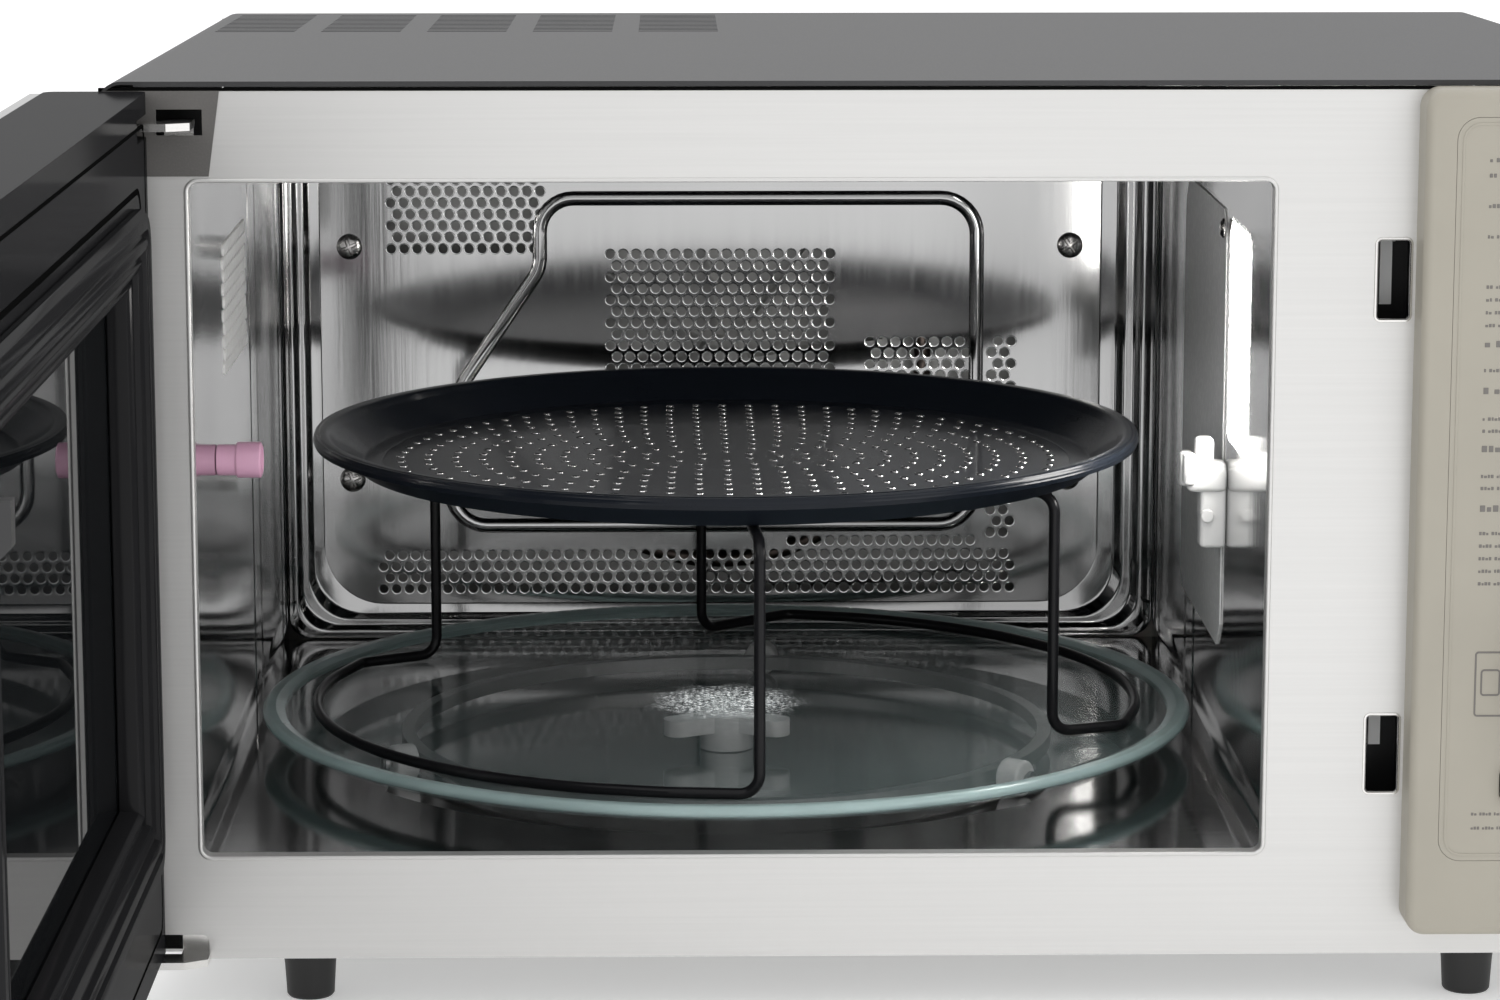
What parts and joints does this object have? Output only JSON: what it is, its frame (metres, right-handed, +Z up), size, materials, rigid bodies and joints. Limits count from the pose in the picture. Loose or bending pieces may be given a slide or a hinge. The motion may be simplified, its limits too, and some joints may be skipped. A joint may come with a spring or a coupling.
{
  "type": "microwave oven",
  "caption": "Free-standing microwave oven with a left-hung door standing open, a control panel on the right, and a glass tray, wire rack and round pan inside.",
  "frame": {"origin": "on the floor, under the middle of the whole oven's bounding box with its door open 90 degrees", "axes": "+X to the right seen from the front, +Y from the front to the back, +Z up"},
  "size_m": [0.5756, 0.8506, 0.314],
  "materials": {
    "cover_paint": "dark grey, fine texture",
    "plate_steel": "satin stainless",
    "cavity_steel": "polished stainless",
    "zinc_steel": "zinc plated, dull",
    "hinge_paint": "dark grey-brown, satin",
    "foot_plastic": "black",
    "panel_plastic": "beige, fine texture",
    "overlay_film": "beige, satin",
    "display_black": "black, glossy",
    "black_plastic": "black",
    "white_plastic": "white",
    "circuit_board": "green board",
    "door_plastic": "dark grey, satin",
    "choke_plastic": "dark grey, satin",
    "door_glass": "black backed glass",
    "inner_glass": "dark glossy pane",
    "handle_metal": "brushed",
    "screen_steel": "black pierced sheet",
    "tray_glass": "pale green-blue",
    "rack_steel": "black enamel",
    "pan_enamel": "dark non-stick coat",
    "mica": "mica sheet",
    "ceramic_white": "white",
    "peg_pink": "pale pink",
    "lamp_glass": "clear bulb",
    "heater_metal": "heat tinted",
    "copper_iron": "wound core",
    "motor_steel": "plain"
  },
  "bodies": {
    "oven_body": {"outer_cover": "cover_paint", "base_plate": "zinc_steel", "rear_panel": "zinc_steel", "motor_cover": "zinc_steel", "foot_front_left": "foot_plastic", "foot_front_right": "foot_plastic", "foot_rear_left": "foot_plastic", "foot_rear_right": "foot_plastic", "cord_gland": "black_plastic", "front_frame": "plate_steel", "hinge_plate": "hinge_paint", "hinge_arm_upper": "zinc_steel", "hinge_arm_lower": "zinc_steel", "cavity_left_wall": "cavity_steel", "cavity_right_wall": "cavity_steel", "cavity_floor": "cavity_steel", "cavity_ceiling": "cavity_steel", "cavity_rear_frame": "cavity_steel", "fan_cover": "cavity_steel", "fan_cover_screws": "plate_steel", "air_chamber": "zinc_steel", "convection_heater": "heater_metal", "convection_motor": "motor_steel", "waveguide_cover": "mica", "side_peg": "peg_pink", "side_bracket": "ceramic_white", "oven_lamp": "lamp_glass", "turntable_motor": "motor_steel", "panel_housing": "panel_plastic", "panel_overlay": "overlay_film", "display_window": "display_black", "control_board": "circuit_board", "latch_housing": "white_plastic", "interlock_switches": "black_plastic", "waveguide": "zinc_steel", "magnetron": "motor_steel", "power_supply": "copper_iron", "blower_motor": "black_plastic"},
    "door": {"door_frame": "door_plastic", "door_outer_glass": "door_glass", "choke_cover": "choke_plastic", "door_inner_glass": "inner_glass", "door_screen": "screen_steel", "door_handle": "handle_metal"},
    "latch": {"latch_slide": "black_plastic"},
    "coupler": {"turntable_coupler": "white_plastic"},
    "ring": {"roller_ring": "white_plastic"},
    "first_roller": {"roller_1": "white_plastic"},
    "second_roller": {"roller_2": "white_plastic"},
    "third_roller": {"roller_3": "white_plastic"},
    "tray": {"glass_tray": "tray_glass"},
    "rack": {"wire_rack": "rack_steel"},
    "pan": {"crisp_pan": "pan_enamel"},
    "jog_dial": {"dial": "panel_plastic"},
    "start_key": {"start_button": "panel_plastic"},
    "stop_key": {"stop_button": "panel_plastic"},
    "hot_fan": {"convection_fan": "zinc_steel"},
    "cooling_fan": {"blower_fan": "black_plastic"},
    "upper_lever": {"interlock_lever_upper": "white_plastic"},
    "lower_lever": {"interlock_lever_lower": "white_plastic"}
  },
  "joints": [
    {"name": "door_hinge", "type": "hinge", "parent": "oven_body", "child": "door", "pos_m": [-0.2215, -0.00755, 0.16], "axis": [0, 0, 1], "range_deg": [-5, 90]},
    {"name": "latch_lift", "type": "slide", "parent": "door", "child": "latch", "axis": [0, 0, 1], "range_m": [0, 0.004], "stiffness_N_per_m": 400, "springref_m": -0.002},
    {"name": "coupler_spin", "type": "hinge", "parent": "oven_body", "child": "coupler", "pos_m": [-0.02625, 0.1792, 0.057], "axis": [0, 0, 1], "continuous": true},
    {"name": "ring_spin", "type": "hinge", "parent": "oven_body", "child": "ring", "pos_m": [-0.02625, 0.1792, 0.0568], "axis": [0, 0, 1], "continuous": true},
    {"name": "tray_lift", "type": "slide", "parent": "coupler", "child": "tray", "axis": [0, 0, 1], "range_m": [0, 0.025]},
    {"name": "rack_lift", "type": "slide", "parent": "tray", "child": "rack", "axis": [0, 0, 1], "range_m": [0, 0.025]},
    {"name": "pan_lift", "type": "slide", "parent": "rack", "child": "pan", "axis": [0, 0, 1], "range_m": [0, 0.03]},
    {"name": "hot_fan_spin", "type": "hinge", "parent": "oven_body", "child": "hot_fan", "pos_m": [-0.02675, 0.3782, 0.168], "axis": [0, 1, 0], "continuous": true},
    {"name": "cooling_fan_spin", "type": "hinge", "parent": "oven_body", "child": "cooling_fan", "pos_m": [0.22475, 0.3842, 0.227], "axis": [0, 1, 0], "continuous": true},
    {"name": "dial_turn", "type": "hinge", "parent": "oven_body", "child": "jog_dial", "pos_m": [0.24975, -0.0188, 0.118], "axis": [0, 1, 0], "continuous": true},
    {"name": "start_press", "type": "slide", "parent": "oven_body", "child": "start_key", "axis": [0, 1, 0], "range_m": [0, 0.0015], "stiffness_N_per_m": 600},
    {"name": "stop_press", "type": "slide", "parent": "oven_body", "child": "stop_key", "axis": [0, 1, 0], "range_m": [0, 0.0015], "stiffness_N_per_m": 600},
    {"name": "upper_lever_swing", "type": "hinge", "parent": "oven_body", "child": "upper_lever", "pos_m": [0.19075, 0.0272, 0.262], "axis": [1, 0, 0], "range_deg": [0, 15], "stiffness_Nm_per_rad": 0.02, "springref_deg": -5.73},
    {"name": "lower_lever_swing", "type": "hinge", "parent": "oven_body", "child": "lower_lever", "pos_m": [0.19075, 0.0272, 0.11], "axis": [1, 0, 0], "range_deg": [0, 15], "stiffness_Nm_per_rad": 0.02, "springref_deg": -5.73},
    {"name": "first_roller_spin", "type": "hinge", "parent": "ring", "child": "first_roller", "pos_m": [-0.14408, 0.12919, 0.0568], "axis": [-0.9205, -0.3907, 0], "continuous": true},
    {"name": "second_roller_spin", "type": "hinge", "parent": "ring", "child": "second_roller", "pos_m": [0.07598, 0.10217, 0.0568], "axis": [0.7986, -0.6018, 0], "continuous": true},
    {"name": "third_roller_spin", "type": "hinge", "parent": "ring", "child": "third_roller", "pos_m": [-0.01065, 0.30625, 0.0568], "axis": [0.1219, 0.9925, 0], "continuous": true}
  ],
  "couplings": [
    {"joint": "ring_spin", "follows": "coupler_spin", "ratio": 0.5},
    {"joint": "first_roller_spin", "follows": "coupler_spin", "ratio": -9.8462},
    {"joint": "second_roller_spin", "follows": "coupler_spin", "ratio": -9.8462},
    {"joint": "third_roller_spin", "follows": "coupler_spin", "ratio": -9.8462}
  ]
}
